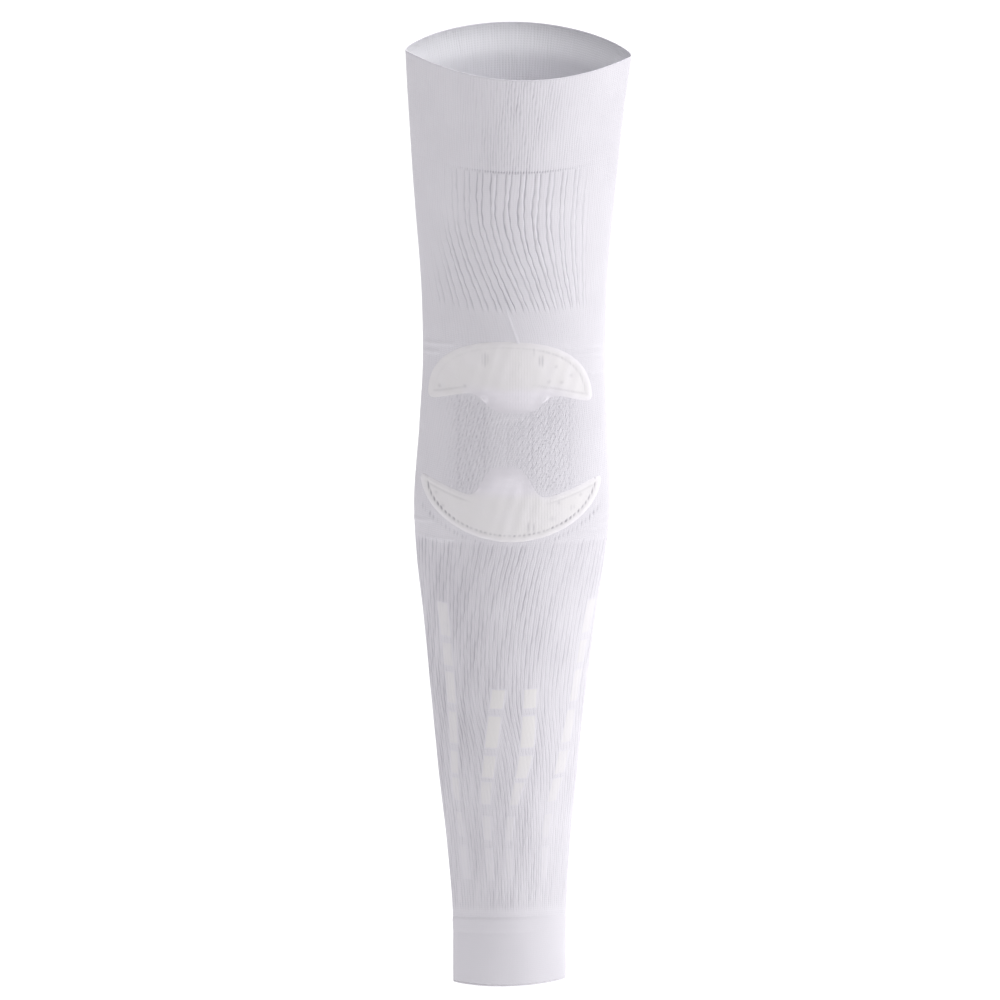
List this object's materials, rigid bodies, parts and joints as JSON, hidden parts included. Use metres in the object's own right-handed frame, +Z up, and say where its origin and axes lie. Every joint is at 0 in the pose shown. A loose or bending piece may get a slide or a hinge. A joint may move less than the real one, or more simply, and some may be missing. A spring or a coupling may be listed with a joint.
{
  "type": "arm compression sleeve",
  "caption": "Seamless knitted sleeve that tapers from upper arm to wrist, with a ribbed panel, crescent pads that frame the elbow and dashed grip strips; compresses and supports the arm.",
  "frame": {"origin": "middle of the elbow, on the axis of the arm that wears the sleeve", "axes": "+Z up the arm towards the shoulder, -Y out of the front with the crescent pads, +X to the right seen from the front"},
  "size_m": [0.0979, 0.0758, 0.4322],
  "materials": {
    "knit": "matte white stretch knit",
    "double_knit": "smooth white double knit",
    "pad": "matte cream silicone",
    "grip": "matte cream silicone"
  },
  "bodies": {
    "root": {"sleeve_body": "knit", "upper_welt": "double_knit", "wrist_cuff": "double_knit", "upper_crescent": "pad", "lower_crescent": "pad", "dash_outer_left_1": "grip", "dash_outer_left_2": "grip", "dash_outer_left_3": "grip", "dash_outer_left_4": "grip", "dash_outer_left_5": "grip", "dash_outer_left_6": "grip", "dash_outer_left_7": "grip", "dash_outer_left_8": "grip", "dash_inner_left_1": "grip", "dash_inner_left_2": "grip", "dash_inner_left_3": "grip", "dash_inner_left_4": "grip", "dash_inner_left_5": "grip", "dash_inner_left_6": "grip", "dash_inner_right_1": "grip", "dash_inner_right_2": "grip", "dash_inner_right_3": "grip", "dash_inner_right_4": "grip", "dash_inner_right_5": "grip", "dash_inner_right_6": "grip", "dash_outer_right_1": "grip", "dash_outer_right_2": "grip", "dash_outer_right_3": "grip", "dash_outer_right_4": "grip", "dash_outer_right_5": "grip", "dash_outer_right_6": "grip", "dash_outer_right_7": "grip", "dash_outer_right_8": "grip"}
  },
  "joints": []
}
